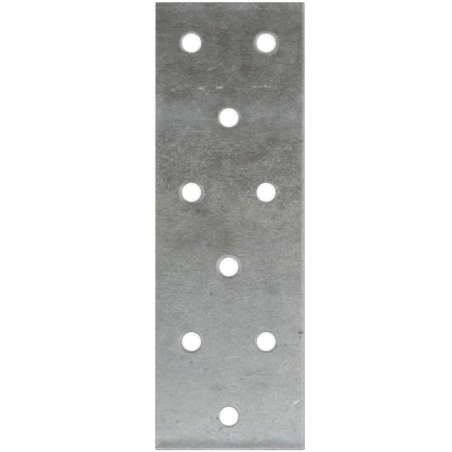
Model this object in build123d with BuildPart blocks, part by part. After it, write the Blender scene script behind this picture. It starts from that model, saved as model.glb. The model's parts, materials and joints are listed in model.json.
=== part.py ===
from build123d import *

import os

# Mending plate: galvanised steel strip, punched with a staggered grid of nail holes and
# sheared to length. It lies flat on its underside, with the face that the punches entered
# on top. +X runs across the plate, +Y along it towards the end with a pair of holes, and
# the origin is on the underside, at the plate's centre. Sizes are in millimetres.

# The plate
plate_length = 120.0
plate_width = 40.0
sheet_thickness = 2.0

# The staggered grid: rows across the plate, holes in every second column of each row
row_pitch = 20.0
column_pitch = 10.0
least_edge_distance = 8.0
pattern_shift_across = -0.3
pattern_shift_along = -0.9

# The wall of a punched hole: rolled rim, bright land, then a tear that opens downwards
hole_diameter = 5.1
hole_roll_width = 0.7
hole_roll_depth = 0.2
hole_land_height = 0.7
hole_tear_clearance = 0.1

# The long sides, slit from wide strip, and the ends, cropped by a shear. The knives rolled
# the right side over more than the left one
right_roll_width = 0.8
right_roll_depth = 0.2
left_roll_width = 0.5
left_roll_depth = 0.08
end_roll_width = 0.6
end_roll_depth = 0.15
edge_land_height = 0.6
edge_tear_clearance = 0.12

# How far the punch form reaches past both faces of the sheet
punch_overshoot = 1.0


def half_section(reach, roll_width, roll_depth):
    """Half of the sheet's section, from its middle out to one sheared edge, which is this
    far from the middle."""
    land_top = sheet_thickness - roll_depth
    land_bottom = land_top - edge_land_height
    with BuildSketch() as half:
        with BuildLine():
            roll = EllipticalCenterArc(
                (reach - roll_width, land_top),
                roll_width,
                roll_depth,
                start_angle=0,
                arc_size=90,
            )
            Polyline(
                roll @ 0,
                (reach, land_bottom),
                (reach - edge_tear_clearance, 0),
                (0, 0),
                (0, sheet_thickness),
                roll @ 1,
            )
        make_face()
    return half.sketch


def staggered_centres():
    """Hole centres, row by row from the +Y end, with every second place left out."""
    columns = 1 + int((plate_width - 2 * least_edge_distance) / column_pitch)
    rows = 1 + int((plate_length - 2 * least_edge_distance) / row_pitch)
    left = pattern_shift_across - column_pitch * (columns - 1) / 2
    top = pattern_shift_along + row_pitch * (rows - 1) / 2
    return [
        (left + column * column_pitch, top - row * row_pitch)
        for row in range(rows)
        for column in range(columns)
        if (row + column) % 2 == 0
    ]


# What one punch takes out, as a solid of revolution about the hole's axis
with BuildPart() as punched_opening:
    with BuildSketch(Plane.XZ):
        with BuildLine():
            wall_radius = hole_diameter / 2
            land_top = sheet_thickness - hole_roll_depth
            land_bottom = land_top - hole_land_height
            tear_slope = hole_tear_clearance / land_bottom
            rim = EllipticalCenterArc(
                (wall_radius + hole_roll_width, land_top),
                hole_roll_width,
                hole_roll_depth,
                start_angle=90,
                arc_size=90,
            )
            Polyline(
                rim @ 1,
                (wall_radius, land_bottom),
                (wall_radius + tear_slope * (land_bottom + punch_overshoot), -punch_overshoot),
                (0, -punch_overshoot),
                (0, sheet_thickness + punch_overshoot),
                (wall_radius + hole_roll_width, sheet_thickness + punch_overshoot),
                rim @ 0,
            )
        make_face()
    revolve(axis=Axis.Z)

# The plate: the width's section drawn along it, cut to the length's section, then punched
with BuildPart() as mending_plate:
    with BuildSketch(Plane.XZ.offset(-plate_length / 2)):
        add(half_section(plate_width / 2, right_roll_width, right_roll_depth))
        left_half = half_section(plate_width / 2, left_roll_width, left_roll_depth)
        mirror(left_half, about=Plane.YZ)
    extrude(amount=plate_length)
    with BuildSketch(Plane.YZ.offset(-plate_width / 2)):
        end_half = half_section(plate_length / 2, end_roll_width, end_roll_depth)
        add(end_half)
        mirror(end_half, about=Plane.YZ)
    extrude(amount=plate_width, mode=Mode.INTERSECT)
    with Locations(*staggered_centres()):
        add(punched_opening.part, mode=Mode.SUBTRACT)

mending_plate.part.label = "mending_plate"

os.makedirs("parts", exist_ok=True)
export_step(mending_plate.part, "parts/mending_plate.step")
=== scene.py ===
import json
import math

import bmesh
import bpy
import numpy as np
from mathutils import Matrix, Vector, noise
from mathutils.geometry import delaunay_2d_cdt


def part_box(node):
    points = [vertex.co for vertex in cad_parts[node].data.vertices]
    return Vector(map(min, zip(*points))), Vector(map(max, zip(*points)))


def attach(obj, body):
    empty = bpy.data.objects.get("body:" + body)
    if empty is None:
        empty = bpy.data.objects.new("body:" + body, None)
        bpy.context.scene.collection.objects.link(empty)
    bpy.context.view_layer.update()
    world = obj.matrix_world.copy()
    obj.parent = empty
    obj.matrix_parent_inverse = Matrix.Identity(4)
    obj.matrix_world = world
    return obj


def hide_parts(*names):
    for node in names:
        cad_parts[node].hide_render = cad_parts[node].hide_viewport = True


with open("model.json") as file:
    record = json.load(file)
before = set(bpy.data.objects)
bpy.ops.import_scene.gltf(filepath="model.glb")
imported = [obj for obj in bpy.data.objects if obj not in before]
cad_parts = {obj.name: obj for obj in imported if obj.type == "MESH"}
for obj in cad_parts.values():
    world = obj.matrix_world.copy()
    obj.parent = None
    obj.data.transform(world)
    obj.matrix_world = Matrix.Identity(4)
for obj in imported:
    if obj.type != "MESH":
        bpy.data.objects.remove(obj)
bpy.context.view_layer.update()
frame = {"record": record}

# A galvanised mending plate lying on a white table, seen from straight above. Lengths are in
# millimetres, in the frame's own axes, and MM turns them into metres where Blender gets them.
MM = 0.001
NODE = "mending_plate"

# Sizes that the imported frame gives
low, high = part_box(NODE)
HALF_WIDTH = (high.x - low.x) / 2 / MM
HALF_LENGTH = (high.y - low.y) / 2 / MM
THICKNESS = (high.z - low.z) / MM
NAIL_HOLES = [mount for mount in frame["record"]["mounts"] if mount["kind"] == "bore"]
HOLE_CENTRES = [(hole["pos_m"][0] / MM, hole["pos_m"][1] / MM) for hole in NAIL_HOLES]
HOLE_RADIUS = NAIL_HOLES[0]["dims"]["r_mm"]
HOLE_LAND_HEIGHT = NAIL_HOLES[0]["dims"]["length_mm"]

# Form of the punched and sheared walls, as in the solid
HOLE_ROLL_WIDTH = 0.7
HOLE_ROLL_DEPTH = 0.2
HOLE_TEAR_CLEARANCE = 0.1
RIGHT_ROLL_WIDTH = 0.8
RIGHT_ROLL_DEPTH = 0.2
LEFT_ROLL_WIDTH = 0.5
LEFT_ROLL_DEPTH = 0.08
END_ROLL_WIDTH = 0.6
END_ROLL_DEPTH = 0.15
EDGE_LAND_HEIGHT = 0.6
EDGE_TEAR_CLEARANCE = 0.12

# How finely the mesh follows that form. LAND_SHARES are the rows of a land, as shares of its
# height, and RIM_STEPS the rings of points past a hole's roll.
ROLL_STEPS = 8
LAND_SHARES = (0.0, 0.08, 0.5, 1.0)
TEAR_STEPS = 6
RIM_STEPS = (0.08, 0.16, 0.25, 0.36, 0.48, 0.6)
HOLE_SEGMENTS = 96
EDGE_SPACING = 0.36
FACE_SPACING = 0.45
UNDERSIDE_SPACING = 0.9
MARK_SPACING = 0.07

# Rows of a hexagonal grid are this share of its spacing apart
HEXAGON_ROW = 0.866

# Clear space round the grids of the two faces, and from the marks to the plate's edge
TOP_EDGE_GAP = 0.3
TOP_RIM_GAP = 0.2
UNDERSIDE_EDGE_GAP = 0.6
UNDERSIDE_RIM_GAP = 0.5
MARK_MARGIN = 0.05

# Points nearer than this are one point, and folds sharper than this, in degrees, look sharp
WELD_REACH = 0.0005
SHARP_ANGLE = 50

# Waves of the top face: how deep they are on average, and how long
WAVE_DEPTH = 0.006
WAVE_LENGTH = 9.0

# How far the land's lower edge strays, as a share of its height, and over what length
RAGGED_SHARE = 0.16
RAGGED_LENGTH = 1.1

# How rough the torn zone is, over what length, and how far its pattern moves on down the wall
TEAR_ROUGHNESS = 0.022
TEAR_GRAIN = 0.5
TEAR_PATTERN_SHIFT = 3.0

# Seeds that keep the random patterns apart
WAVE_SEED = 3.0
SCUFF_SEED = 5.0
HIGHLIGHT_SEED = 9.0
EDGE_SEED = 11.0
HOLE_SEED = 20.0
TEAR_SEED_STEP = 5

# Bright scuffs and scratches on the top face: path, width, and how bright they are
SCUFFS = {
    "scratch": ([(-5.6, 41.95), (-4.7, 42.25), (-3.8, 42.65)], 0.34, 0.6),
    "its faint start": ([(-7.5, 41.85), (-5.6, 41.95)], 0.2, 0.3),
    "its faint tail": ([(-3.6, 43.05), (-2.6, 43.4), (-1.7, 43.6)], 0.2, 0.35),
    "dot of the nick row": ([(-15.4, 36.5), (-15.0, 36.35)], 0.42, 0.95),
    "first dash of the nick row": ([(-8.5, 36.9), (-7.1, 36.85)], 0.34, 1.0),
    "spot over the first dash": ([(-8.3, 37.8), (-8.1, 37.6)], 0.3, 0.4),
    "spot after the first dash": ([(-6.5, 37.6), (-6.2, 37.5)], 0.3, 0.35),
    "second dash of the nick row": ([(-3.4, 37.1), (-2.0, 37.2)], 0.38, 0.95),
    "fine line of the nick row": ([(6.5, 37.3), (9.0, 37.3)], 0.24, 0.75),
    "dot on that line": ([(9.3, 37.6), (9.7, 37.55)], 0.38, 1.0),
    "last dot of the nick row": ([(10.5, 37.45), (10.8, 37.4)], 0.34, 0.7),
    "first faint dot at the left": ([(-13.5, 37.7), (-13.2, 37.7)], 0.3, 0.5),
    "second faint dot at the left": ([(-12.4, 37.85), (-12.0, 37.8)], 0.3, 0.5),
    "faint dash at the left": ([(-11.6, 37.4), (-10.4, 37.5)], 0.28, 0.4),
    "faint dot over it": ([(-10.5, 38.8), (-10.1, 38.85)], 0.26, 0.45),
    "faint dots further left": ([(-16.2, 38.0), (-14.2, 38.2)], 0.24, 0.35),
    "dot at the left side": ([(-19.4, 34.9), (-19.1, 34.9)], 0.34, 0.8),
    "faint dash by the scratch": ([(-9.0, 43.8), (-8.2, 44.2)], 0.28, 0.4),
    "upper rub line": ([(-12.2, 25.4), (-5.0, 25.35)], 0.2, 0.3),
    "lower rub line": ([(-11.0, 24.75), (-6.4, 24.7)], 0.2, 0.25),
    "short rub": ([(1.5, 21.7), (2.4, 21.6)], 0.24, 0.4),
    "dot near the right side": ([(13.0, 17.6), (13.2, 17.5)], 0.3, 0.7),
    "low scratch": ([(-1.1, -35.45), (0.6, -35.1), (2.1, -35.0)], 0.24, 0.5),
    "arc by the hole": ([(2.7, -32.6), (4.4, -32.1), (6.2, -31.9)], 0.22, 0.35),
    "nick near the corner": ([(17.1, -47.55), (17.6, -47.2), (18.3, -46.8)], 0.4, 0.95),
    "left of the nick": ([(14.9, -47.6), (15.4, -47.0), (16.2, -46.5)], 0.24, 0.35),
    "burr over the second hole": ([(-2.0, 32.3), (-1.75, 31.4)], 0.2, 0.5),
    "burr over the right hole": ([(11.45, 12.1), (11.4, 11.5)], 0.18, 0.45),
    "rub right of it": ([(12.85, 10.5), (13.1, 9.6), (13.0, 8.8)], 0.45, 0.5),
    "dot left of it": ([(5.85, 9.85), (5.98, 9.7)], 0.28, 0.5),
    "fainter dot beside that": ([(4.95, 9.4), (5.05, 9.3)], 0.26, 0.4),
    "dot right of the top hole": ([(14.95, 48.95), (15.2, 48.9)], 0.4, 0.4),
    "worn dot by the left hole": ([(-8.95, 12.3), (-8.6, 12.0)], 0.3, 0.3),
    "second worn dot there": ([(-7.2, 11.0), (-7.0, 10.6)], 0.28, 0.3),
    "under the nick": ([(16.8, -48.2), (16.7, -49.4)], 0.26, 0.3),
}
SCUFF_DEPTH = 0.006

# How much of a mark is at its full strength: 1 is only its middle, and more is a wider part
SCUFF_FULLNESS = 1.3
PIT_FULLNESS = 1.2
STAIN_FULLNESS = 1.5
ARC_FULLNESS = 1.5
BOTTOM_HIGHLIGHT_FULLNESS = 1.6

# How the grain of the metal breaks up scuffs and the painted highlights: the strength that is
# usually left, how much it strays, over what length, and its least
SCUFF_BREAKS = (0.75, 0.9, 0.55, 0.15)
HIGHLIGHT_BREAKS = (0.85, 0.6, 2.2, 0.0)

# Dark pits in the zinc on the top face: middle across and along, half width, half height, and
# how dark they are
PITS = {
    "large pit at the right side": (18.95, -28.5, 1.2, 0.6, 0.9),
    "faint pit under it": (18.85, -29.6, 0.6, 0.45, 0.5),
    "pit by the right hole": (14.83, -31.77, 0.75, 0.62, 0.58),
    "faint pit by the right hole": (13.8, -31.9, 0.6, 0.4, 0.3),
    "pit under the left hole": (-10.27, -36.38, 0.75, 0.55, 0.62),
    "faint pit beside it": (-12.9, -35.18, 0.85, 0.8, 0.3),
    "left pit": (-6.5, -38.45, 0.65, 0.65, 0.4),
    "middle pit": (4.6, -38.6, 0.7, 0.35, 0.22),
    "middle right pit": (7.7, -38.76, 1.0, 0.4, 0.5),
    "lower middle pit": (4.8, -39.9, 1.1, 0.55, 0.33),
    "lowest middle pit": (3.3, -40.86, 0.7, 0.5, 0.45),
    "pit right of the middle": (12.73, -39.87, 0.7, 0.5, 0.3),
    "smudge under that": (9.2, -42.52, 1.2, 0.75, 0.28),
    "right pit": (6.22, -43.3, 0.75, 0.7, 0.2),
    "notch in the right hole's rim": (12.5, 9.35, 0.35, 0.4, 0.9),
    "dash right of the middle": (11.4, 3.1, 1.0, 0.4, 0.3),
    "second dash there": (11.4, 2.2, 1.0, 0.4, 0.3),
    "pit under the right hole": (12.57, -32.14, 0.6, 0.65, 0.4),
    "pit above": (-5.0, -18.1, 0.6, 0.75, 0.7),
    "left corner pit": (-15.5, -49.1, 0.4, 0.55, 0.3),
    "lower left pit": (-14.15, -52.3, 0.8, 0.7, 0.47),
    "bottom pit": (-2.45, -54.13, 0.8, 0.7, 0.52),
    "pit at the bottom left": (-5.85, -55.2, 0.7, 0.45, 0.45),
    "pit by the bottom hole": (-5.0, -51.33, 0.7, 0.65, 0.42),
    "notch in the bottom hole's rim": (-3.33, -51.5, 0.55, 0.85, 0.65),
    "dash at the far left": (-17.75, -52.05, 0.8, 1.0, 0.25),
    "dash at the far right": (16.3, -52.15, 1.1, 0.5, 0.22),
    "soft pit under it": (17.3, -54.7, 0.9, 0.9, 0.3),
    "soft pit left of it": (11.6, -51.9, 0.7, 0.6, 0.15),
    "blotch at the middle": (-3.24, -43.0, 0.9, 0.5, 0.25),
    "blotch right of it": (-1.78, -43.0, 0.65, 0.5, 0.25),
    "blotch under it": (-2.78, -43.7, 0.9, 0.55, 0.3),
    "blotch left of it": (-4.6, -43.55, 1.0, 0.6, 0.26),
    "dark spot under the left hole": (-8.51, 4.12, 0.75, 0.8, 0.9),
    "dark spot at the centre": (-1.44, 4.07, 1.1, 1.0, 0.35),
}
PIT_DEPTH = 0.015

# How each kind of stain shifts the red, green and blue that the zinc reflects
TINTS = {
    "plain": (0.0, 0.0, 0.0),
    "blue": (-0.055, 0.005, 0.095),
    "cool": (-0.008, -0.004, 0.012),
    "pale blue": (-0.03, 0.0, 0.05),
    "lavender": (-0.006, -0.016, 0.045),
    "lilac": (0.008, -0.025, 0.07),
    "slate": (-0.014, -0.008, 0.022),
    "violet": (0.005, -0.02, 0.036),
    "mauve": (0.018, -0.018, 0.014),
    "rose": (0.022, -0.01, -0.006),
    "plum": (0.035, -0.03, 0.01),
    "brown": (0.022, -0.012, -0.004),
    "olive": (0.0, 0.004, -0.01),
    "green": (-0.016, 0.022, -0.042),
    "ochre": (0.015, 0.0, -0.03),
    "yellow": (0.0, 0.0, -0.09),
    "teal": (-0.03, 0.012, -0.005),
}

# Soft stains on the top face, with some bands of painted reflection and highlight among them:
# kind, middle across and along, half width, half height, and how much lighter or darker they
# make the zinc
STAINS_AND_PAINTED_LIGHT = {
    # The blue band: bluish zinc, lightened partly as a painted reflection band across the plate
    "blue band, left": ("blue", -14.6, 29.0, 13.6, 5.5, 0.2),
    "violet under it": ("violet", -13.0, 25.4, 5.0, 1.8, 0.0),
    "blue band, upper bump": ("pale blue", -7.0, 34.0, 5.0, 3.0, 0.12),
    "light left of the second hole": ("plain", -6.0, 27.6, 4.0, 2.8, 0.09),
    "violet by the hole": ("violet", -5.5, 35.5, 2.6, 3.6, 0.0),
    "blue band, middle": ("pale blue", 7.0, 31.0, 7.5, 3.2, 0.14),
    "blue band, right": ("pale blue", 13.6, 29.5, 6.0, 4.4, 0.14),
    "violet right side": ("lavender", 18.6, 29.0, 5.4, 9.5, 0.09),
    "violet on the top end, left": ("lilac", -10.4, 58.8, 6.0, 3.2, 0.14),
    "violet on the top end, middle": ("lilac", 2.7, 58.8, 7.0, 3.4, 0.15),
    "violet on the top end, right": ("violet", 17.8, 57.8, 4.0, 4.4, 0.14),
    "dark upper left corner": ("brown", -18.0, 54.0, 4.4, 7.0, -0.1),
    "dark spot under the top end": ("olive", -3.5, 56.0, 3.4, 2.4, -0.06),
    "light spot under that": ("brown", -2.8, 53.8, 3.4, 2.8, 0.1),
    "brown left of that": ("brown", -6.0, 53.6, 4.6, 2.4, 0.0),
    "dark over the left top hole": ("plain", -12.7, 52.8, 2.8, 2.2, -0.15),
    "dark by the right top hole": ("plain", 6.8, 52.6, 3.8, 3.0, -0.12),
    "light at the left side, top": ("plain", -18.4, 49.8, 2.8, 2.8, 0.13),
    "light over the right top hole": ("plain", 13.6, 54.5, 2.6, 2.6, 0.1),
    "brown between the top holes": ("brown", 4.3, 47.4, 3.0, 11.0, -0.11),
    "light run beside it": ("plain", 6.0, 46.2, 2.2, 4.4, 0.13),
    "dark run down the middle": ("plain", -1.6, 40.5, 4.0, 8.5, -0.12),
    "dark left of that": ("brown", -1.5, 49.0, 2.4, 3.0, -0.1),
    "dark at its lower end": ("brown", 3.5, 41.8, 3.4, 2.8, -0.1),
    "brown over the right hole": ("brown", 11.0, 54.5, 7.0, 3.4, -0.04),
    "violet under the left hole": ("violet", -12.0, 44.0, 3.8, 3.6, 0.0),
    "violet at the left side": ("violet", -18.5, 41.0, 2.6, 3.6, 0.02),
    "light violet below it": ("violet", -12.5, 38.8, 8.5, 2.8, 0.05),
    "olive under the left hole": ("olive", -9.0, 41.6, 3.6, 2.4, -0.14),
    "olive at the left": ("olive", -15.0, 34.8, 3.6, 2.2, -0.11),
    "dark under the nick row": ("brown", -0.8, 35.8, 3.4, 2.0, -0.2),
    "light by the nick row": ("brown", -7.5, 37.2, 2.2, 1.4, 0.12),
    "light at the middle": ("brown", -1.6, 37.8, 2.4, 1.2, 0.06),
    "light left of the band": ("plain", -18.2, 36.6, 2.6, 2.6, 0.12),
    "light on the right side": ("violet", 18.9, 29.6, 2.8, 5.6, 0.11),
    "light right of the top hole": ("olive", 15.0, 44.6, 3.8, 4.8, 0.1),
    "dark right of the middle": ("olive", 7.4, 39.8, 2.8, 3.6, -0.14),
    "light right of that": ("plain", 11.9, 39.6, 2.8, 4.6, 0.12),
    "brown below the band": ("brown", -7.5, 20.4, 5.4, 2.2, -0.04),
    "light below the band, left": ("plain", -12.7, 23.8, 2.4, 2.6, 0.13),
    "light further left": ("plain", -15.2, 20.4, 2.6, 2.2, 0.12),
    "light below the second hole": ("plain", 5.6, 22.4, 4.0, 2.6, 0.1),
    "light below the band, right": ("lavender", 8.4, 28.2, 4.8, 2.6, 0.12),
    "dark at its right end": ("plain", 15.4, 27.4, 2.6, 2.2, -0.13),
    "dark run under that": ("plain", 14.0, 24.0, 4.6, 1.6, -0.08),
    "olive below the band": ("olive", 8.0, 25.0, 4.0, 3.0, 0.02),
    "dark below the band, right": ("brown", 11.2, 22.6, 2.6, 2.0, -0.18),
    "dark red spot": ("brown", 5.4, 18.8, 3.2, 2.2, -0.17),
    "dark run left of it": ("plain", 1.6, 17.7, 4.4, 2.2, -0.14),
    "brown round it": ("brown", 5.5, 17.5, 9.0, 7.5, -0.04),
    "light in the brown": ("plain", 6.0, 15.2, 2.0, 2.4, 0.12),
    "light over the middle": ("plain", -0.3, 14.5, 2.8, 2.0, 0.12),
    "dark over the right hole": ("plain", 4.8, 12.1, 4.6, 2.3, -0.15),
    "dark above the left hole": ("brown", -3.4, 16.0, 3.0, 4.6, -0.14),
    "dark run from the left": ("olive", -16.5, 15.4, 4.0, 2.4, -0.14),
    "dark above the hole": ("olive", -10.5, 13.6, 4.4, 1.8, -0.12),
    "light patch": ("olive", -10.4, 17.7, 2.8, 2.6, 0.18),
    "light patch beside it": ("plain", -6.0, 17.8, 2.8, 2.6, 0.13),
    "dark at the right side": ("plain", 17.4, 16.5, 3.2, 3.2, -0.1),
    "mauve by the right hole": ("mauve", 13.8, 9.5, 2.4, 3.0, 0.0),
    "dark right of that": ("plain", 18.2, 9.4, 2.8, 2.6, -0.14),
    "dark left of the left hole": ("plain", -15.0, 12.5, 4.6, 2.6, -0.12),
    "dark below that": ("plain", -12.5, 5.6, 3.6, 2.2, -0.1),
    "violet between the holes": ("violet", -2.0, 8.8, 3.4, 4.0, 0.04),
    "dark by the left hole": ("plain", -5.3, 9.8, 2.4, 3.0, -0.11),
    "dark at the centre": ("plain", -1.2, 4.2, 2.6, 2.4, -0.13),
    "dark under the left hole": ("olive", -8.8, 4.2, 3.0, 2.6, -0.19),
    "dark below that one": ("olive", -5.0, 1.6, 4.6, 3.4, -0.12),
    "violet spot at the left": ("violet", -15.4, 4.1, 2.8, 2.4, -0.07),
    "dark right of the left spot": ("plain", -6.0, 3.9, 2.4, 2.2, -0.07),
    "light right of the middle": ("olive", 8.4, 4.5, 6.4, 5.2, 0.15),
    "light under that": ("plain", 12.0, -2.0, 5.0, 4.0, 0.06),
    "light at the far right": ("plain", 16.2, 5.0, 3.8, 2.8, 0.12),
    "violet at the right": ("violet", 14.6, 2.0, 2.6, 2.4, 0.04),
    "dark at the left": ("olive", -15.0, -4.2, 4.0, 2.6, -0.1),
    "dull patch over it": ("plain", -9.5, -1.5, 5.5, 2.6, -0.08),
    "dark violet spot": ("lavender", -9.8, -4.2, 5.2, 2.5, -0.17),
    "cool edge of it": ("cool", -9.0, -6.8, 5.0, 2.2, -0.05),
    "dark patch over the middle hole": ("olive", -1.4, -4.4, 5.4, 4.8, -0.18),
    "violet round the middle hole": ("mauve", 6.5, -10.5, 5.4, 5.4, 0.02),
    "green patch": ("green", -16.4, -11.2, 5.6, 5.2, 0.0),
    "dark beside it": ("plain", -11.4, -11.0, 2.2, 3.0, -0.08),
    "light under the hole, left": ("plain", -6.0, -13.6, 2.8, 2.2, 0.09),
    "green patch, bluish side": ("cool", -10.4, -8.0, 3.4, 3.0, 0.0),
    "olive at the right side": ("olive", 17.0, -9.5, 3.6, 2.8, 0.04),
    "violet spot over that": ("violet", 15.5, -6.3, 3.6, 2.6, 0.03),
    "light at the right side, middle": ("plain", 18.4, -6.2, 3.4, 2.4, 0.08),
    "blue spot": ("pale blue", 11.2, -6.6, 2.8, 2.2, 0.02),
    "orange spot right of it": ("ochre", 14.5, -9.8, 2.6, 1.8, 0.0),
    "mauve spot under the hole": ("mauve", -2.6, -13.0, 2.6, 2.4, 0.0),
    "brown spot under the hole": ("brown", 1.0, -15.2, 4.6, 4.4, -0.05),
    "brown run below it": ("brown", -2.0, -20.5, 2.6, 3.8, 0.0),
    "brown spot at the right": ("brown", 10.8, -17.2, 3.2, 3.0, -0.11),
    "light run at the right side": ("plain", 16.0, -20.0, 4.6, 1.8, 0.06),
    "brown spot below that one": ("brown", 11.8, -22.6, 2.6, 2.2, -0.03),
    "brown spot at the left": ("brown", -7.0, -14.0, 2.4, 2.4, -0.03),
    "dull spot under that": ("plain", -6.2, -21.2, 2.8, 2.6, -0.05),
    "rosy right side, low": ("rose", 19.2, -24.0, 4.4, 20.0, 0.02),
    "rosy right corner": ("rose", 19.2, -53.5, 3.0, 5.0, 0.0),
    "cool left of the middle": ("cool", -10.0, -18.5, 8.0, 5.0, 0.0),
    "cool between the low holes": ("cool", -3.0, -28.0, 4.0, 4.0, 0.0),
    "cool under the low left hole": ("slate", -9.5, -37.9, 7.4, 5.2, -0.03),
    "cool beside it": ("cool", -16.6, -33.0, 2.8, 4.4, -0.03),
    "cool at the middle": ("slate", 3.0, -36.4, 2.2, 2.2, -0.02),
    "cool below the middle": ("slate", 3.6, -44.4, 2.2, 4.0, -0.02),
    "dark smudge at the middle": ("cool", -3.6, -43.2, 3.0, 1.4, -0.08),
    "dark smudge at the right": ("cool", 8.4, -42.9, 4.0, 2.0, -0.06),
    "dark run over it": ("plain", 7.0, -39.7, 9.5, 0.7, -0.07),
    "light low right": ("plain", 13.0, -47.0, 4.6, 14.0, 0.05),
    "cool light low left": ("cool", -6.5, -53.0, 11.5, 3.4, 0.045),
    "cool light low right": ("cool", 14.8, -53.0, 4.4, 4.0, 0.03),
    # Painted reflection band across the whole width
    "painted reflection along the band": ("plain", 0.0, 31.0, 90.0, 4.6, 0.08),
    "violet over the middle hole": ("lavender", 10.5, -4.0, 8.5, 3.4, 0.0),
    "orange spot by the green patch": ("ochre", -10.9, -11.8, 3.0, 2.6, 0.0),
    "olive round it": ("olive", -12.0, -12.0, 6.0, 4.0, 0.0),
    "lighter right side": ("plain", 19.5, 0.0, 9.0, 95.0, 0.07),
    "lighter upper left side": ("plain", -19.5, 50.0, 6.0, 16.0, 0.06),
    # The next six bands across the whole width make the zinc lighter or darker along the plate:
    # partly its own tone, partly a painted reflection gradient
    "lighter under the top end": ("plain", 0.0, 58.0, 90.0, 5.0, 0.05),
    "dull under the top holes": ("plain", 0.0, 45.0, 60.0, 8.0, -0.04),
    "dull over the middle": ("plain", 0.0, 17.0, 60.0, 10.0, -0.03),
    "dull at the middle": ("plain", 0.0, -2.0, 60.0, 4.0, -0.06),
    "lighter lower half": ("plain", 0.0, -26.0, 60.0, 16.0, 0.06),
    "dull above the bottom end": ("plain", 0.0, -52.0, 60.0, 5.0, -0.02),
    # Lighter along the top end
    "lighter along the top end": ("plain", 0.0, 59.2, 90.0, 1.9, 0.2),
    "cool run along the bottom end": ("cool", 0.0, -55.4, 60.0, 3.0, 0.0),
    "dull left side, low": ("plain", -20.0, -32.0, 10.0, 30.0, -0.07),
    "dull right corner": ("plain", 17.4, -46.0, 3.6, 3.4, -0.09),
    "dull by the low left hole": ("plain", -6.2, -30.4, 1.8, 3.4, -0.07),
    "dull under it": ("plain", -11.0, -33.5, 6.0, 3.0, -0.04),
    "dull by the low right hole": ("plain", 5.0, -26.5, 3.0, 4.4, -0.05),
    "light right of the low right hole": ("plain", 13.5, -31.0, 4.0, 10.0, 0.05),
    "violet by the middle hole": ("violet", 4.6, -5.5, 3.2, 3.2, 0.0),
    "dirt on the bottom end": ("cool", 0.0, -59.4, 90.0, 3.1, -0.28),
    "plum edge of the dirt": ("plum", 0.0, -60.0, 90.0, 2.0, 0.0),
    # Painted highlight along the left side's roll in the upper half
    "painted highlight down the left side": ("plain", -19.6, 27.0, 1.9, 24.0, 0.14),
    "yellow left edge": ("yellow", -20.1, -1.0, 0.8, 11.0, 0.0),
    "green spot over the left top hole": ("green", -10.5, 54.6, 1.7, 1.1, 0.0),
    "teal by the right top hole": ("teal", 1.4, 48.0, 1.0, 2.2, 0.06),
    "teal in the dirt, right": ("teal", 15.2, -57.7, 2.8, 1.3, 0.13),
    "dark run of the dirt": ("plain", 4.6, -58.4, 8.5, 0.8, -0.09),
    "rosy patch at the right side": ("rose", 17.8, -37.4, 2.4, 2.8, 0.0),
    "rosy patch over it": ("rose", 17.6, -26.6, 2.4, 2.8, 0.0),
    "dark line under the rosy patch": ("brown", 17.8, -41.0, 2.0, 0.8, -0.07),
    "green spot in the dirt": ("teal", -17.0, -58.2, 2.0, 1.3, -0.17),
}

# How the edges of the stains and painted bands stray, as a share of their size: how much, over
# what length, and a seed
STAIN_EDGES = ((0.3, 4.0, 7.0), (0.25, 1.6, 8.0))

# Arcs of each hole's rim with a painted highlight: middle and half of the arc in degrees from
# +X, how far out they reach, and how strong they are
RIM_HIGHLIGHT_ARCS = (
    [(185, 75, 0.85, 1.0), (10, 60, 0.7, 0.65), (105, 55, 0.45, 0.5)],
    [(180, 85, 1.05, 0.9), (350, 80, 1.1, 0.95), (305, 50, 1.25, 0.75)],
    [(350, 70, 0.85, 0.65), (305, 45, 0.8, 0.5), (180, 50, 0.7, 0.3)],
    [(190, 75, 1.0, 0.7), (350, 65, 1.0, 0.7), (310, 45, 0.9, 0.55)],
    [(355, 60, 0.9, 0.55), (260, 60, 0.9, 0.4)],
    [(165, 70, 0.95, 0.5), (15, 75, 0.95, 0.5), (90, 60, 0.9, 0.4)],
    [(0, 60, 0.8, 0.4)],
    [(180, 60, 0.8, 0.15)],
    [(50, 50, 0.9, 0.3)],
)

# How bright the painted highlight along the right side's roll is, over what width, how much
# brighter it is towards the middle of that side, and where along it that is
SIDE_HIGHLIGHT = 0.3
SIDE_HIGHLIGHT_WIDTH = 0.98
MIDDLE_HIGHLIGHT_GAIN = 0.35
SIDE_HIGHLIGHT_MIDDLE = 5.0
SIDE_HIGHLIGHT_REACH = 45.0

# Width of the painted highlight along the bottom end
BOTTOM_HIGHLIGHT_WIDTH = 0.66

# How bright the painted highlight round every rim is: on the whole, how much more on the side
# towards -Y and less on the other, and how far out
RIM_HIGHLIGHT = 0.1
NEAR_RIM_HIGHLIGHT = 0.1
RIM_HIGHLIGHT_REACH = 0.8

# Painted highlight bands: their strength at the wall, and the widths over which they rise and fade
HIGHLIGHT_AT_WALL = 0.4
HIGHLIGHT_RISE = 0.5
HIGHLIGHT_FADE = 0.35

# Darkening along the steep part of the rolls of the right side and the top end, painted shade
# at the right side: its width and how much it darkens at each
EDGE_DARKENING_WIDTH = 0.6
SIDE_PAINTED_SHADE = 0.38
END_DARKENING = 0.62

# Arcs of the hole rims with painted shade: place in HOLE_CENTRES, middle and half of the arc in
# degrees from +X, and how much it darkens
SHADED_RIM_ARCS = ((2, 95, 85, 0.2), (3, 95, 60, 0.2), (4, 125, 90, 0.28), (6, 60, 60, 0.08))
RIM_SHADE_REACH = 0.9
RIM_SHADE_FADE = 0.4

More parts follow.
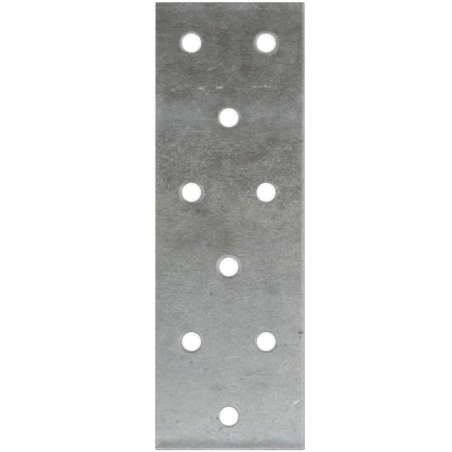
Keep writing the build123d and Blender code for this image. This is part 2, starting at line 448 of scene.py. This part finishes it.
# Fine rings that the punch left round some holes: place in HOLE_CENTRES, gap from the wall,
# first and last angle in degrees from +X, and how bright they are
RING_MARKS = (
    (0, 0.68, 130, 235, 0.5),
    (1, 0.98, 130, 240, 0.25),
    (3, 0.8, 140, 235, 0.4),
    (3, 0.82, -40, 30, 0.25),
    (5, 0.74, 100, 230, 0.4),
    (6, 0.76, 130, 220, 0.3),
    (6, 1.15, 150, 245, 0.25),
    (8, 0.7, 10, 85, 0.35),
)
RING_MARK_WIDTH = 0.17

# Degrees over which a ring mark fades at both ends
RING_MARK_FADE = 25

# How uneven the zinc's tone is where it is most even, and how that changes along the plate:
# where each change starts and ends, and how much it adds
LEAST_UNEVENNESS = 0.65
UNEVEN_STEPS = (
    (-46.0, -54.0, 0.07),
    (-42.0, -8.0, 0.4),
    (0.0, 12.0, 0.46),
    (21.0, 27.5, -0.62),
    (31.5, 35.0, 0.34),
    (40.0, 56.0, -0.18),
)

# The vertex attributes that tell the material what happened to the metal, and where highlights
# are painted
TRAITS = ("scuffed", "pitted", "burnished", "land", "torn")

# Colours of the metal. The dull zinc turns olive towards the top end and lighter towards the
# bottom end, between these places along the plate. The lighter bottom end is partly the zinc's
# own tone and partly a painted reflection gradient.
DULL_ZINC = (0.3255, 0.342, 0.337)
OLIVE_ZINC = (0.341, 0.3455, 0.32)
PALE_ZINC_AND_SHEEN = (0.425, 0.446, 0.441)
OLIVE_CHANGE = (-18.5, -2.5)
PALE_AND_SHEEN_CHANGE = (-20.0, -62.0)
WARM_TARNISH = (1.012, 1.0, 0.985)
COOL_TARNISH = (0.988, 1.0, 1.015)
# Colour of the painted highlights on the rolled edges and rims
PAINTED_HIGHLIGHT_METAL = (0.62, 0.62, 0.61)
SCUFFED_METAL = (0.75, 0.75, 0.73)
PIT_FLOOR = (0.11, 0.12, 0.118)
PIT_STRENGTH = 0.85
DARK_LAND = (0.37, 0.37, 0.36)
LIGHT_LAND = (0.54, 0.54, 0.53)
DARK_TEAR = (0.16, 0.155, 0.15)
LIGHT_TEAR = (0.32, 0.315, 0.31)

# Lamps: place and target in metres, size across and along, and how bright their surface is
LAMPS = {
    "overhead_panel": ((0, -0.13, 0.4), (0, -0.13, 0), (0.7, 0.26), 1.02),
    "right_panel": ((0.3, 0.1, 0.38), (0, 0, 0), (0.4, 0.4), 0.8),
    "left_panel": ((-0.36, 0.16, 0.34), (0, 0, 0), (0.3, 0.4), 0.75),
    "far_strip": ((0, 0.3, 0.42), (0, 0, 0), (0.9, 0.2), 0.85),
    "near_strip": ((0, -0.6, 0.22), (0, 0, 0), (0.9, 0.24), 0.7),
}
WORLD_STRENGTH = 0.26


def smooth(share):
    """Ease from 0 to 1 as share runs from 0 to 1."""
    share = np.clip(share, 0, 1)
    return share * share * (3 - 2 * share)


def spot(reach, fullness):
    """1 in the middle of a mark, easing to 0 where reach is 1."""
    return smooth(fullness * (1 - reach))


def wander(x, y, length, seed):
    """Soft random values from -1 to 1 that change over about this length."""
    return np.array([noise.noise(Vector((a / length, b / length, seed))) for a, b in zip(x, y)])


def broken_up(x, y, breaks, seed):
    """How strong a mark is left where the grain of the metal breaks it up, at most 1."""
    usual, stray, length, least = breaks
    return np.clip(usual + stray * wander(x, y, length, seed), least, 1)


def distance_to_path(x, y, path):
    """How far each point lies from a path of straight runs, or from its only point."""
    nearest = np.hypot(x - path[0][0], y - path[0][1])
    for (x0, y0), (x1, y1) in zip(path, path[1:]):
        run_x = x1 - x0
        run_y = y1 - y0
        share = ((x - x0) * run_x + (y - y0) * run_y) / (run_x**2 + run_y**2)
        share = np.clip(share, 0, 1)
        gap = np.hypot(x - x0 - share * run_x, y - y0 - share * run_y)
        nearest = np.minimum(nearest, gap)
    return nearest


def roll_drop(distance, width, depth):
    """How far a rolled-over edge has dropped at this distance from its wall: a quarter ellipse.
    The distance is rounded so that every point on the wall gets the whole drop."""
    reach = np.clip(1 - np.round(distance, 4) / width, 0, 1)
    return depth * (1 - np.sqrt(1 - reach**2))


def roll_drop_at(x, y):
    """Drop of the top face where it rolls over the plate's edges and the hole rims."""
    right = roll_drop(HALF_WIDTH - x, RIGHT_ROLL_WIDTH, RIGHT_ROLL_DEPTH)
    left = roll_drop(HALF_WIDTH + x, LEFT_ROLL_WIDTH, LEFT_ROLL_DEPTH)
    end = roll_drop(HALF_LENGTH - np.abs(y), END_ROLL_WIDTH, END_ROLL_DEPTH)
    drop = np.maximum(np.maximum(right, left), end)
    for centre_x, centre_y in HOLE_CENTRES:
        gap = np.hypot(x - centre_x, y - centre_y) - HOLE_RADIUS
        drop = np.maximum(drop, roll_drop(gap, HOLE_ROLL_WIDTH, HOLE_ROLL_DEPTH))
    return drop


def scuffed_at(x, y):
    """How scuffed the zinc is at each point of the top face, from 0 to 1."""
    scuffed = np.zeros(x.shape)
    for path, width, brightness in SCUFFS.values():
        share = spot(distance_to_path(x, y, path) / width, SCUFF_FULLNESS)
        scuffed = np.maximum(scuffed, brightness * share)
    marked = scuffed > 0
    scuffed[marked] *= broken_up(x[marked], y[marked], SCUFF_BREAKS, SCUFF_SEED)
    return scuffed


def pitted_at(x, y):
    """How deep into a pit each point of the top face lies, from 0 to 1."""
    pitted = np.zeros(x.shape)
    for middle_x, middle_y, half_x, half_y, darkness in PITS.values():
        reach = np.hypot((x - middle_x) / half_x, (y - middle_y) / half_y)
        pitted = np.maximum(pitted, darkness * spot(reach, PIT_FULLNESS))
    return pitted


def from_hole(x, y, number):
    """Each point's distance from a hole's wall, and its bearing in degrees from +X."""
    centre_x, centre_y = HOLE_CENTRES[number]
    away = np.hypot(x - centre_x, y - centre_y) - HOLE_RADIUS
    return away, np.degrees(np.arctan2(y - centre_y, x - centre_x))


def arc_share(bearing, middle, half_arc):
    """1 in the middle of an arc, easing to 0 at its ends."""
    turned = np.abs((bearing - middle + 180) % 360 - 180)
    return spot(turned / half_arc, ARC_FULLNESS)


def shade_and_darkening_at(x, y):
    """How much each point of the top face is darkened: painted shade on the steep part of the
    right side's roll and on the rims, and a darkening along the top end's roll.
    """
    # Painted shade on the steep part of the right side's roll
    shade_and_darkening = SIDE_PAINTED_SHADE * smooth(1 - (HALF_WIDTH - x) / EDGE_DARKENING_WIDTH)
    # Darker along the steep part of the top end's roll
    shade_and_darkening = np.maximum(shade_and_darkening, END_DARKENING * smooth(1 - (HALF_LENGTH - y) / EDGE_DARKENING_WIDTH))
    # Painted shade on arcs of the rims, mostly on their sides towards +Y
    for number, middle, half_arc, darkening in SHADED_RIM_ARCS:
        away, bearing = from_hole(x, y, number)
        near = smooth((RIM_SHADE_REACH - away) / RIM_SHADE_FADE)
        shade_and_darkening = np.maximum(shade_and_darkening, darkening * near * arc_share(bearing, middle, half_arc))
    return shade_and_darkening


def stain_and_painted_light_at(x, y):
    """The red, green and blue factors at each point of the top face from the stains, the painted
    reflection and highlight bands among them, and the painted shade and darkening along the
    edges and rims.
    """
    edge = sum(stray * wander(x, y, length, seed) for stray, length, seed in STAIN_EDGES)
    stain = np.ones((len(x), 3))
    for tint, middle_x, middle_y, half_x, half_y, tone in STAINS_AND_PAINTED_LIGHT.values():
        reach = np.hypot((x - middle_x) / half_x, (y - middle_y) / half_y)
        share = spot(reach - edge, STAIN_FULLNESS)
        stain *= 1 + share[:, None] * (np.array(TINTS[tint]) + tone)
    return stain * (1 - shade_and_darkening_at(x, y)[:, None])


def highlight_band(distance, width, at_wall=HIGHLIGHT_AT_WALL):
    """A painted highlight band along an edge, strongest a little way in from the wall."""
    rise = at_wall + (1 - at_wall) * smooth(distance / HIGHLIGHT_RISE)
    return smooth((width - distance) / HIGHLIGHT_FADE) * rise


def painted_highlight_at(x, y):
    """How strong the painted highlight on the rolled edges and rims is, from 0 to 1."""
    # Painted highlight along the right side's roll, brighter towards its middle
    side_middle_share = smooth(1 - np.abs(y - SIDE_HIGHLIGHT_MIDDLE) / SIDE_HIGHLIGHT_REACH)
    burnished = highlight_band(HALF_WIDTH - x, SIDE_HIGHLIGHT_WIDTH, at_wall=0)
    burnished *= SIDE_HIGHLIGHT + MIDDLE_HIGHLIGHT_GAIN * side_middle_share
    # Painted highlight along the bottom end's roll
    bottom_highlight = spot((HALF_LENGTH + y) / BOTTOM_HIGHLIGHT_WIDTH, BOTTOM_HIGHLIGHT_FULLNESS)
    burnished = np.maximum(burnished, bottom_highlight)
    for number, highlight_arcs in enumerate(RIM_HIGHLIGHT_ARCS):
        away, bearing = from_hole(x, y, number)
        # Painted highlight round every rim, stronger on its side towards -Y
        rim_highlight_share = RIM_HIGHLIGHT - NEAR_RIM_HIGHLIGHT * np.sin(np.radians(bearing))
        burnished = np.maximum(burnished, rim_highlight_share * highlight_band(away, RIM_HIGHLIGHT_REACH))
        # Painted highlight arcs on this rim
        for middle, half_arc, reach, strength in highlight_arcs:
            share = arc_share(bearing, middle, half_arc)
            burnished = np.maximum(burnished, strength * share * highlight_band(away, reach))
    return burnished * broken_up(x, y, HIGHLIGHT_BREAKS, HIGHLIGHT_SEED)


def ring_marked_at(x, y):
    """How bright the punch's ring marks are at each point of the top face, from 0 to 1."""
    marked = np.zeros(x.shape)
    for number, gap, first, last, strength in RING_MARKS:
        away, bearing = from_hole(x, y, number)
        turned = (bearing - first) % 360
        into_arc = np.minimum(turned, last - first - turned) / RING_MARK_FADE
        line = spot(np.abs(away - gap) / RING_MARK_WIDTH, SCUFF_FULLNESS)
        marked = np.maximum(marked, strength * smooth(into_arc) * line)
    return marked


def face_marks(x, y):
    """What has happened to the metal at each point of the top face, and the highlights, shade and
    reflections painted there.
    """
    return {
        "stain": stain_and_painted_light_at(x, y),
        "scuffed": np.maximum(scuffed_at(x, y), ring_marked_at(x, y)),
        "pitted": pitted_at(x, y),
        "burnished": painted_highlight_at(x, y),
    }


class PlateMesh:
    """Gathers the plate's faces and walls, and welds them into one closed mesh."""

    def __init__(self):
        self.points = []
        self.faces = []
        self.stains_and_painted_light = []
        self.traits = {name: [] for name in TRAITS}

    def add(self, points, faces, stain=None, **traits):
        """Add points and faces, with what has happened to the metal at each point, and the light
        and shade painted there.
        """
        first = sum(len(block) for block in self.points)
        self.points.append(points)
        self.faces += [tuple(first + corner for corner in face) for face in faces]
        self.stains_and_painted_light.append(np.ones((len(points), 3)) if stain is None else stain)
        for name in TRAITS:
            self.traits[name].append(traits.get(name, np.zeros(len(points))))

    def weld(self, name):
        """One mesh of all that was added. Points in the same place are joined, and points that
        no face uses are left out."""
        mesh = bpy.data.meshes.new(name)
        mesh.from_pydata(np.concatenate(self.points) * MM, [], self.faces)
        for trait, blocks in self.traits.items():
            attribute = mesh.attributes.new(trait, "FLOAT", "POINT")
            attribute.data.foreach_set("value", np.concatenate(blocks).astype(np.float32))
        stains_and_painted_light = np.concatenate(self.stains_and_painted_light)
        alpha = np.ones((len(stains_and_painted_light), 1))
        attribute = mesh.attributes.new("stain", "FLOAT_COLOR", "POINT")
        attribute.data.foreach_set("color", np.hstack([stains_and_painted_light, alpha]).ravel())
        welding = bmesh.new()
        welding.from_mesh(mesh)
        bmesh.ops.remove_doubles(welding, verts=welding.verts, dist=WELD_REACH * MM)
        loose = [point for point in welding.verts if not point.link_faces]
        bmesh.ops.delete(welding, geom=loose, context="VERTS")
        welding.to_mesh(mesh)
        welding.free()
        mesh.shade_smooth()
        mesh.set_sharp_from_angle(angle=math.radians(SHARP_ANGLE))
        return mesh


def rectangle_ring(left, right, end):
    """Points round a rectangle this far in from the plate's sides and ends, anticlockwise
    from its lower left corner."""
    across = round(2 * HALF_WIDTH / EDGE_SPACING)
    along = round(2 * HALF_LENGTH / EDGE_SPACING)
    x = np.linspace(left - HALF_WIDTH, HALF_WIDTH - right, across + 1)
    y = np.linspace(end - HALF_LENGTH, HALF_LENGTH - end, along + 1)
    lower = np.column_stack([x[:-1], np.full(across, y[0])])
    right_side = np.column_stack([np.full(along, x[-1]), y[:-1]])
    upper = np.column_stack([x[:0:-1], np.full(across, y[-1])])
    left_side = np.column_stack([np.full(along, x[0]), y[:0:-1]])
    return np.concatenate([lower, right_side, upper, left_side])


def plate_outline():
    """The plate's outline, and the direction out of the metal at each of its points."""
    ring = rectangle_ring(0, 0, 0)
    on_side = np.isclose(np.abs(ring[:, 0]), HALF_WIDTH)
    on_end = np.isclose(np.abs(ring[:, 1]), HALF_LENGTH)
    return ring, np.sign(ring) * np.column_stack([on_side, on_end])


def circle_ring(centre, radius):
    """Points round a circle, anticlockwise from +X."""
    angle = np.linspace(0, 2 * math.pi, HOLE_SEGMENTS, endpoint=False)
    return np.array(centre) + radius * np.column_stack([np.cos(angle), np.sin(angle)])


def roll_distances(width):
    """Distances from the wall at which the mesh follows a rolled edge, the wall left out."""
    angle = np.linspace(0, math.pi / 2, ROLL_STEPS + 1)[1:]
    return width * (1 - np.cos(angle))


def face_grid(spacing, edge_margin, hole_margin):
    """Points of a hexagonal grid, clear of the plate's edges and of the holes."""
    row_spacing = spacing * HEXAGON_ROW
    rows = np.arange(-HALF_LENGTH + edge_margin, HALF_LENGTH - edge_margin, row_spacing)
    columns = np.arange(-HALF_WIDTH + edge_margin, HALF_WIDTH - edge_margin, spacing)
    x, y = np.meshgrid(columns, rows)
    x[1::2] += spacing / 2
    points = np.column_stack([x.ravel(), y.ravel()])
    keep = points[:, 0] < HALF_WIDTH - edge_margin
    for centre in HOLE_CENTRES:
        keep &= np.hypot(*(points - centre).T) > HOLE_RADIUS + hole_margin
    return points[keep]


def mark_points():
    """Extra points round each scuff and pit, so that its form is in the mesh."""
    areas = [(np.array(path), width) for path, width, brightness in SCUFFS.values()]
    areas += [(np.array([pit[:2]]), max(pit[2:4])) for pit in PITS.values()]
    found = []
    for path, reach in areas:
        lowest = path.min(axis=0) - reach
        highest = path.max(axis=0) + reach
        x, y = np.meshgrid(
            np.arange(lowest[0], highest[0], MARK_SPACING),
            np.arange(lowest[1], highest[1], MARK_SPACING),
        )
        x, y = x.ravel(), y.ravel()
        near = distance_to_path(x, y, path) < reach
        near &= np.abs(x) < HALF_WIDTH - MARK_MARGIN
        near &= np.abs(y) < HALF_LENGTH - MARK_MARGIN
        found.append(np.column_stack([x, y])[near])
    return np.concatenate(found)


def fill_between(outline, hole_rings, inner_points):
    """Triangles between the outline and the hole rings, through the inner points. Triangles in
    a hole are dropped: their middles are nearer its centre than the sides of its ring are."""
    rings = [outline, *hole_rings]
    points = np.concatenate([*rings, inner_points])
    edges = []
    first = 0
    for ring in rings:
        size = len(ring)
        edges += [(first + i, first + (i + 1) % size) for i in range(size)]
        first += size
    corners, _, triangles, *_ = delaunay_2d_cdt(
        [Vector(point) for point in points], edges, [], 0, 1e-6
    )
    corners = np.array([tuple(corner) for corner in corners])
    triangles = np.array(triangles)
    middle = corners[triangles].mean(axis=1)
    keep = np.ones(len(triangles), bool)
    for centre, ring in zip(HOLE_CENTRES, hole_rings):
        side_distance = np.hypot(*(ring[:2].mean(axis=0) - centre))
        keep &= np.hypot(*(middle - centre).T) > side_distance
    return corners, triangles[keep]


def roll_points():
    """Rings of points that follow the rolled edges and the hole rims."""
    edge_widths = (LEFT_ROLL_WIDTH, RIGHT_ROLL_WIDTH, END_ROLL_WIDTH)
    rings = [rectangle_ring(*into) for into in zip(*map(roll_distances, edge_widths))]
    reaches = [*roll_distances(HOLE_ROLL_WIDTH), *HOLE_ROLL_WIDTH + np.array(RIM_STEPS)]
    for centre in HOLE_CENTRES:
        rings += [circle_ring(centre, HOLE_RADIUS + reach) for reach in reaches]
    return np.concatenate(rings)


def top_face(plate):
    """The face that the punches entered, with its rolled edges, scuffs and pits."""
    edge_margin = RIGHT_ROLL_WIDTH + TOP_EDGE_GAP
    rim_margin = HOLE_ROLL_WIDTH + RIM_STEPS[-1] + TOP_RIM_GAP
    grid = face_grid(FACE_SPACING, edge_margin, rim_margin)
    outline = rectangle_ring(0, 0, 0)
    hole_rings = [circle_ring(centre, HOLE_RADIUS) for centre in HOLE_CENTRES]
    inner_points = np.concatenate([roll_points(), grid, mark_points()])
    flat, triangles = fill_between(outline, hole_rings, inner_points)
    x, y = flat.T
    marks = face_marks(x, y)
    drop = roll_drop_at(x, y)
    on_face = 1 - smooth(drop / LEFT_ROLL_DEPTH)
    relief = WAVE_DEPTH * (1 + wander(x, y, WAVE_LENGTH, WAVE_SEED))
    relief += SCUFF_DEPTH * marks["scuffed"] + PIT_DEPTH * marks["pitted"]
    heights = THICKNESS - drop - relief * on_face
    plate.add(np.column_stack([x, y, heights]), triangles.tolist(), **marks)


def underside(plate):
    """The face that the plate lies on, inside the torn edges."""
    ring, outward = plate_outline()
    outline = ring - EDGE_TEAR_CLEARANCE * outward
    radius = HOLE_RADIUS + HOLE_TEAR_CLEARANCE
    hole_rings = [circle_ring(centre, radius) for centre in HOLE_CENTRES]
    grid = face_grid(UNDERSIDE_SPACING, UNDERSIDE_EDGE_GAP, UNDERSIDE_RIM_GAP)
    flat, triangles = fill_between(outline, hole_rings, grid)
    points = np.column_stack([flat, np.zeros(len(flat))])
    plate.add(points, triangles[:, ::-1].tolist())


def tear_roughness(travelled, share, seed):
    """How far each point of a torn zone draws back for its roughness, this share of the way
    down it. There is none at its top and its bottom."""
    moved_on = np.full(len(travelled), TEAR_PATTERN_SHIFT * share)
    rough = TEAR_ROUGHNESS * (1 + wander(travelled, moved_on, TEAR_GRAIN, seed + TEAR_SEED_STEP))
    return rough * math.sin(math.pi * share)


def wall_quads(row_count, size):
    """The faces between rows of this many points, each row closed on itself."""
    return [
        (row * size + i, (row + 1) * size + i, (row + 1) * size + j, row * size + j)
        for row in range(row_count - 1)
        for i, j in zip(range(size), [*range(1, size), 0])
    ]


def wall_marks(ring):
    """What has happened to the metal at each point of a wall, and the light and shade painted
    there.
    Its first row has the face's marks and its last row none, as the points that they are welded
    to."""
    marks = face_marks(*ring.T)
    below = len(ring) * (len(LAND_SHARES) - 1 + TEAR_STEPS)
    marks["stain"] = np.concatenate([marks["stain"], np.ones((below, 3))])
    for name in ("scuffed", "pitted", "burnished"):
        marks[name] = np.concatenate([marks[name], np.zeros(below)])
    land_rows = [share > 0 for share in LAND_SHARES] + [False] * TEAR_STEPS
    torn_rows = [False] * len(LAND_SHARES) + [True] * (TEAR_STEPS - 1) + [False]
    marks["land"] = np.repeat(land_rows, len(ring))
    marks["torn"] = np.repeat(torn_rows, len(ring))
    return marks


def wall(plate, ring, outward, land_height, clearance, seed):
    """A sheared wall from the rolled edge down: its smooth land, then the torn zone that
    draws back from it. outward points out of the metal at each point of the ring."""
    land_top = THICKNESS - roll_drop_at(*ring.T)
    travelled = np.arange(len(ring)) * EDGE_SPACING
    ragged = wander(travelled, np.zeros(len(ring)), RAGGED_LENGTH, seed)
    land_bottom = land_top - land_height * (1 + RAGGED_SHARE * ragged)
    rows = [
        np.column_stack([ring, land_top + (land_bottom - land_top) * share])
        for share in LAND_SHARES
    ]
    for step in range(1, TEAR_STEPS + 1):
        share = step / TEAR_STEPS
        inset = clearance * share + tear_roughness(travelled, share, seed)
        drawn_back = ring - outward * inset[:, None]
        rows.append(np.column_stack([drawn_back, land_bottom * (1 - share)]))
    plate.add(np.concatenate(rows), wall_quads(len(rows), len(ring)), **wall_marks(ring))


def sheared_edges(plate):
    """The plate's four sheared edges, as one wall round it."""
    wall(plate, *plate_outline(), EDGE_LAND_HEIGHT, EDGE_TEAR_CLEARANCE, EDGE_SEED)


def punched_walls(plate):
    """The wall inside each nail hole."""
    for number, centre in enumerate(HOLE_CENTRES):
        ring = circle_ring(centre, HOLE_RADIUS)[::-1]
        outward = (np.array(centre) - ring) / HOLE_RADIUS
        seed = HOLE_SEED + number
        wall(plate, ring, outward, HOLE_LAND_HEIGHT, HOLE_TEAR_CLEARANCE, seed)


def add_object(name, data):
    """An object of the scene that holds this mesh, lamp or camera."""
    made = bpy.data.objects.new(name, data)
    bpy.context.scene.collection.objects.link(made)
    return made


def make_plate():
    """The dressed plate, which stands for the CAD node."""
    plate = PlateMesh()
    top_face(plate)
    underside(plate)
    sheared_edges(plate)
    punched_walls(plate)
    return add_object("galvanised_plate", plate.weld("galvanised_plate"))


def opaque(colour):
    """A colour as a node takes it. A socket stays as it is."""
    return colour if isinstance(colour, bpy.types.NodeSocket) else (*colour, 1)


class Graph:
    """Short ways to add shader nodes and link them."""

    def __init__(self, tree):
        self.tree = tree
        tree.nodes.clear()

    def add(self, kind, inputs=None, **settings):
        """A node of this kind, with a link to each input given as a socket."""
        made = self.tree.nodes.new(kind)
        for name, value in settings.items():
            setattr(made, name, value)
        for name, value in (inputs or {}).items():
            if isinstance(value, bpy.types.NodeSocket):
                self.tree.links.new(value, made.inputs[name])
            else:
                made.inputs[name].default_value = value
        return made

    def maths(self, operation, first, second=0.0, third=0.0):
        """The result of one calculation with up to three numbers."""
        inputs = {0: first, 1: second, 2: third}
        return self.add("ShaderNodeMath", inputs, operation=operation).outputs[0]

    def vector_maths(self, operation, inputs):
        """The result of one calculation with vectors."""
        return self.add("ShaderNodeVectorMath", inputs, operation=operation).outputs[0]

    def scaled(self, vector, scale):
        """A vector or colour with each of its three values multiplied."""
        return self.vector_maths("MULTIPLY", {0: vector, 1: scale})

    def noise(self, vector, detail=3.0, roughness=0.5):
        """Random values about 0, mostly from -0.3 to 0.3, at one feature to a unit of vector."""
        inputs = {"Vector": vector, "Scale": 1.0, "Detail": detail, "Roughness": roughness}
        made = self.add("ShaderNodeTexNoise", inputs)
        return self.maths("SUBTRACT", made.outputs["Fac"], 0.5)

    def ramp(self, value, start, end):
        """0 to 1 as value runs from start to end, eased."""
        inputs = {"Value": value, "From Min": start, "From Max": end}
        made = self.add("ShaderNodeMapRange", inputs, interpolation_type="SMOOTHSTEP")
        return made.outputs["Result"]

    def spread(self, pattern):
        """0 to 1 as a random pattern runs over its usual values."""
        return self.ramp(pattern, -0.3, 0.3)

    def mix(self, share, first, second):
        """The first colour where share is 0, and the second where it is 1."""
        inputs = {0: share, 6: opaque(first), 7: opaque(second)}
        return self.add("ShaderNodeMix", inputs, data_type="RGBA").outputs[2]


def zinc_tone(graph, place, along, mottle, dashes, grain):
    """How much lighter or darker the zinc's unevenness makes it, as a factor."""
    patches = graph.noise(graph.scaled(place, (0.25, 0.35, 0.35)), detail=2.0)
    fine = graph.maths("MULTIPLY_ADD", dashes, 0.45, graph.maths("MULTIPLY", grain, 0.85))
    fine = graph.maths("MULTIPLY", fine, graph.maths("MULTIPLY_ADD", patches, 2.4, 1.0))
    unevenness = graph.maths("MULTIPLY_ADD", mottle, 0.96, fine)
    strength = LEAST_UNEVENNESS
    for start, end, rise in UNEVEN_STEPS:
        strength = graph.maths("MULTIPLY_ADD", graph.ramp(along, start, end), rise, strength)
    return graph.maths("EXPONENT", graph.maths("MULTIPLY", unevenness, strength))


def zinc_colour(graph, place, along, tone):
    """The zinc face, lighter towards the bottom end partly as a painted reflection gradient, with
    its stains, the painted light and shade carried with them, and a slight tarnish.
    """
    colour = graph.mix(graph.ramp(along, *OLIVE_CHANGE), DULL_ZINC, OLIVE_ZINC)
    # Lighter towards the bottom end: partly the zinc's own tone, partly a painted reflection
    # gradient
    colour = graph.mix(graph.ramp(along, *PALE_AND_SHEEN_CHANGE), colour, PALE_ZINC_AND_SHEEN)
    # The stains carry painted reflection and highlight bands, and painted shade on edges and rims
    stain = graph.add("ShaderNodeAttribute", attribute_name="stain").outputs["Color"]
    colour = graph.scaled(colour, stain)
    elsewhere = graph.vector_maths("ADD", {0: place, 1: (40.0,) * 3})
    tarnish = graph.noise(graph.scaled(elsewhere, (0.14, 0.16, 0.16)), detail=2.0)
    tarnish = graph.mix(graph.spread(tarnish), WARM_TARNISH, COOL_TARNISH)
    colour = graph.scaled(colour, tarnish)
    return graph.vector_maths("SCALE", {0: colour, "Scale": tone})


def worked_colour(graph, place, colour, trait, crumbs):
    """The colour where a highlight is painted or the metal is scuffed, pitted or cut, and the
    zinc's elsewhere.
    """
    # Painted highlights on the rolled edges and rims
    colour = graph.mix(trait["burnished"], colour, PAINTED_HIGHLIGHT_METAL)
    colour = graph.mix(trait["scuffed"], colour, SCUFFED_METAL)
    pitted = graph.maths("MULTIPLY", trait["pitted"], PIT_STRENGTH)
    colour = graph.mix(pitted, colour, PIT_FLOOR)
    drag = graph.noise(graph.scaled(place, (4.0, 4.0, 0.4)), detail=2.0, roughness=0.7)
    land = graph.mix(graph.spread(drag), DARK_LAND, LIGHT_LAND)
    colour = graph.mix(trait["land"], colour, land)
    torn = graph.mix(graph.spread(crumbs), DARK_TEAR, LIGHT_TEAR)
    return graph.mix(trait["torn"], colour, torn)


def fine_bump(graph, torn, dashes, grain, crumbs):
    """The fine grain of the metal, coarser where it is torn."""
    relief = graph.maths("MULTIPLY_ADD", grain, 0.5, dashes)
    roughened = graph.maths("MULTIPLY", torn, crumbs)
    relief = graph.maths("MULTIPLY_ADD", roughened, 3.0, relief)
    inputs = {"Height": relief, "Strength": 0.2, "Distance": 0.02 * MM}
    return graph.add("ShaderNodeBump", inputs).outputs["Normal"]


def zinc_material():
    """Galvanised sheet: streaked across the plate, mottled, scuffed and pitted, with painted
    highlights on the rolled edges and rims, painted shade along them, and a painted reflection
    gradient, lighter towards the bottom end. Patterns have their number of features to a
    millimetre across, along and up."""
    material = bpy.data.materials.new("galvanised_zinc")
    material.use_nodes = True
    graph = Graph(material.node_tree)
    place = graph.add("ShaderNodeTexCoord").outputs["Object"]
    place = graph.scaled(place, (1 / MM,) * 3)
    along = graph.add("ShaderNodeSeparateXYZ", {0: place}).outputs["Y"]
    trait = {
        name: graph.add("ShaderNodeAttribute", attribute_name=name).outputs["Fac"]
        for name in TRAITS
    }
    mottle = graph.noise(graph.scaled(place, (0.2, 0.28, 0.28)), detail=4.0, roughness=0.92)
    dashes = graph.noise(graph.scaled(place, (0.45, 2.2, 2.2)), detail=2.0, roughness=0.7)
    grain = graph.noise(graph.scaled(place, (1.5, 2.0, 2.0)), detail=1.0, roughness=0.8)
    crumbs = graph.noise(graph.scaled(place, (3.0, 3.0, 3.0)), detail=3.0, roughness=0.8)
    tone = zinc_tone(graph, place, along, mottle, dashes, grain)
    colour = zinc_colour(graph, place, along, tone)
    colour = worked_colour(graph, place, colour, trait, crumbs)
    roughness = graph.maths("MULTIPLY_ADD", mottle, 0.15, 0.31)
    roughness = graph.maths("MULTIPLY_ADD", trait["torn"], 0.2, roughness)
    bump = fine_bump(graph, trait["torn"], dashes, grain, crumbs)
    inputs = {"Base Color": colour, "Metallic": 1.0, "Roughness": roughness, "Normal": bump}
    shader = graph.add("ShaderNodeBsdfPrincipled", inputs)
    graph.add("ShaderNodeOutputMaterial", {"Surface": shader.outputs["BSDF"]})
    return material


def add_floor():
    """A white table that keeps the plate's shadow and shows as white."""
    mesh = bpy.data.meshes.new("table")
    reach = 3.0
    depth = -0.02 * MM
    corners = [(-reach, -reach), (reach, -reach), (reach, reach), (-reach, reach)]
    mesh.from_pydata([(x, y, depth) for x, y in corners], [], [(0, 1, 2, 3)])
    table = add_object("table", mesh)
    material = bpy.data.materials.new("white_table")
    material.use_nodes = True
    graph = Graph(material.node_tree)
    path = graph.add("ShaderNodeLightPath").outputs
    seen = graph.maths("MAXIMUM", path["Is Camera Ray"], path["Is Glossy Ray"])
    seen = graph.maths("MAXIMUM", seen, path["Is Transmission Ray"])
    white = graph.add("ShaderNodeBsdfDiffuse", {"Color": (0.78, 0.78, 0.78, 1)})
    glow = graph.add("ShaderNodeEmission", {"Strength": graph.maths("MULTIPLY", seen, 0.62)})
    both = graph.add("ShaderNodeAddShader", {0: white.outputs[0], 1: glow.outputs[0]})
    graph.add("ShaderNodeOutputMaterial", {"Surface": both.outputs[0]})
    mesh.materials.append(material)


def add_lamp(name, place, target, size, radiance):
    """A soft rectangular lamp at a place, aimed at a target, in metres."""
    lamp = bpy.data.lights.new(name, "AREA")
    lamp.shape = "RECTANGLE"
    lamp.size, lamp.size_y = size
    lamp.energy = radiance * math.pi * size[0] * size[1]
    body = add_object(name, lamp)
    body.location = place
    body.rotation_euler = (Vector(target) - Vector(place)).to_track_quat("-Z", "Y").to_euler()
    body.visible_camera = False


def add_world():
    """Dim, even studio surroundings."""
    world = bpy.data.worlds.new("studio")
    bpy.context.scene.world = world
    world.use_nodes = True
    graph = Graph(world.node_tree)
    glow = graph.add("ShaderNodeBackground", {"Strength": WORLD_STRENGTH})
    graph.add("ShaderNodeOutputWorld", {"Surface": glow.outputs[0]})


def add_camera():
    """Straight above the plate, with +Y up in the picture, framed as the photograph is."""
    image_px = 452
    pixels_per_mm = 3.733
    plate_middle_px = (229.98, 226.19)
    height = 1.2
    sensor = 36.0
    seen_width = image_px / pixels_per_mm * MM
    camera = bpy.data.cameras.new("camera")
    camera.sensor_width = sensor
    camera.lens = sensor * (height - THICKNESS * MM) / seen_width
    body = add_object("camera", camera)
    right = (plate_middle_px[0] - image_px / 2) / pixels_per_mm
    down = (plate_middle_px[1] - image_px / 2) / pixels_per_mm
    body.location = (-right * MM, down * MM, height)
    bpy.context.scene.camera = body


piece = make_plate()
piece.data.materials.append(zinc_material())
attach(piece, "root")
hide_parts(NODE)

add_floor()
add_world()
for lamp_name, settings in LAMPS.items():
    add_lamp(lamp_name, *settings)
add_camera()
bpy.context.scene.view_settings.view_transform = "Standard"
